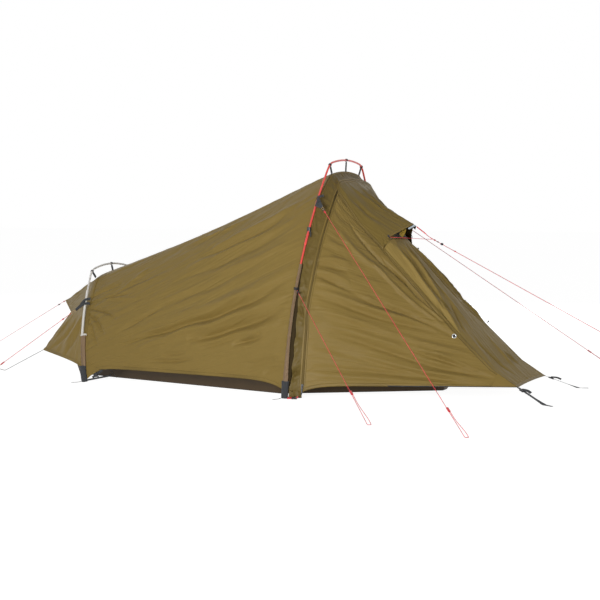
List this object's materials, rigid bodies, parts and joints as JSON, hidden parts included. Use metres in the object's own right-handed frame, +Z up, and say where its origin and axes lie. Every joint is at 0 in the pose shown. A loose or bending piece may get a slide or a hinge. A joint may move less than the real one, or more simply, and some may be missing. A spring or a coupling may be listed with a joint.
{
  "type": "one-person tent",
  "caption": "Low one-person ridge tent hung from a tall and a low bent pole, with a zip door, hooded vents, an inner tent and guy lines with sliding runners.",
  "frame": {"origin": "on the ground under the tent, on its middle line, at the foot of the tall hoop", "axes": "+X towards the pointed front end, +Y towards the side away from the zip door, +Z up"},
  "size_m": [4.1346, 2.5874, 1.1065],
  "materials": {
    "olive_cloth": "coated woven nylon, slightly shiny",
    "brown_cloth": "woven nylon, matt",
    "tub_cloth": "waterproof coated floor cloth, satin",
    "inner_cloth": "thin breathable cloth, matt",
    "netting": "fine dark mosquito netting",
    "webbing": "woven black webbing",
    "red_tube": "red anodised tube, satin",
    "pale_tube": "off-white coated tube, satin",
    "red_line": "braided red line",
    "red_plastic": "moulded red plastic",
    "black_plastic": "moulded black plastic",
    "black_coil": "black coil zip",
    "pale_plastic": "pale grey stiff batten"
  },
  "bodies": {
    "tent": {"bridle_near": "red_line", "corner_strap_far": "webbing", "corner_strap_near": "webbing", "door_panel": "olive_cloth", "foot_base_strap_far": "webbing", "foot_base_strap_near": "webbing", "foot_corner_cord_near": "webbing", "foot_guy_web_far": "webbing", "foot_guy_web_near": "webbing", "foot_hanger_centre": "webbing", "foot_hanger_far": "webbing", "foot_hanger_near": "webbing", "foot_hood": "olive_cloth", "foot_panel": "olive_cloth", "foot_pocket_far": "webbing", "foot_pocket_near": "webbing", "foot_pole_bow": "pale_tube", "foot_pole_leg_far": "pale_tube", "foot_pole_leg_near": "pale_tube", "foot_sleeve_far": "brown_cloth", "foot_sleeve_near": "brown_cloth", "foot_vent_mesh": "netting", "front_panel": "olive_cloth", "front_vent_mesh": "netting", "guyline_foot_centre": "red_line", "guyline_foot_near": "red_line", "guyline_front": "red_line", "guyline_main_lower_near": "red_line", "guyline_main_upper_far": "red_line", "guyline_main_upper_near": "red_line", "hem_strap_near": "webbing", "hood": "olive_cloth", "hood_stiffener": "pale_plastic", "hoop_band": "olive_cloth", "inner_canopy": "inner_cloth", "main_guy_web_far": "webbing", "main_guy_web_near": "webbing", "main_hanger_centre": "webbing", "main_hanger_far": "webbing", "main_hanger_near": "webbing", "main_panel_far": "olive_cloth", "main_panel_near": "olive_cloth", "main_pocket_far": "webbing", "main_pocket_near": "webbing", "main_pole_bow": "red_tube", "main_pole_leg_far": "red_tube", "main_pole_leg_near": "red_tube", "main_sleeve_far": "brown_cloth", "main_sleeve_near": "brown_cloth", "side_panel_far": "olive_cloth", "tub_floor": "tub_cloth", "tub_wall": "tub_cloth", "zip_chain": "black_coil"},
    "line_runner_foot_near": {"line_runner_foot_near": "red_plastic"},
    "line_runner_lower_near": {"line_runner_lower_near": "red_plastic"},
    "line_runner_upper_far": {"line_runner_upper_far": "red_plastic"},
    "line_runner_upper_near": {"line_runner_upper_near": "red_plastic"},
    "zip_slider": {"zip_slider": "black_plastic"},
    "strap_adjuster_near": {"strap_adjuster_near": "black_plastic"},
    "strap_adjuster_far": {"strap_adjuster_far": "black_plastic"}
  },
  "joints": [
    {"name": "line_runner_foot_near_slide", "type": "slide", "parent": "tent", "child": "line_runner_foot_near", "axis": [0.6852, 0.4322, 0.5863], "range_m": [0, 0.25]},
    {"name": "line_runner_lower_near_slide", "type": "slide", "parent": "tent", "child": "line_runner_lower_near", "axis": [-0.6013, 0.6305, 0.4908], "range_m": [0, 0.25]},
    {"name": "line_runner_upper_far_slide", "type": "slide", "parent": "tent", "child": "line_runner_upper_far", "axis": [-0.6182, -0.5747, 0.5362], "range_m": [0, 0.25]},
    {"name": "line_runner_upper_near_slide", "type": "slide", "parent": "tent", "child": "line_runner_upper_near", "axis": [-0.6182, 0.5747, 0.5362], "range_m": [0, 0.25]},
    {"name": "zip_slide", "type": "slide", "parent": "tent", "child": "zip_slider", "axis": [0.0152, 0.1319, 0.9911], "range_m": [0, 0.17]},
    {"name": "strap_adjuster_near_slide", "type": "slide", "parent": "tent", "child": "strap_adjuster_near", "axis": [0.8167, -0.4619, -0.3458], "range_m": [0, 0.08]},
    {"name": "strap_adjuster_far_slide", "type": "slide", "parent": "tent", "child": "strap_adjuster_far", "axis": [0.8167, 0.4619, -0.3458], "range_m": [0, 0.08]}
  ]
}
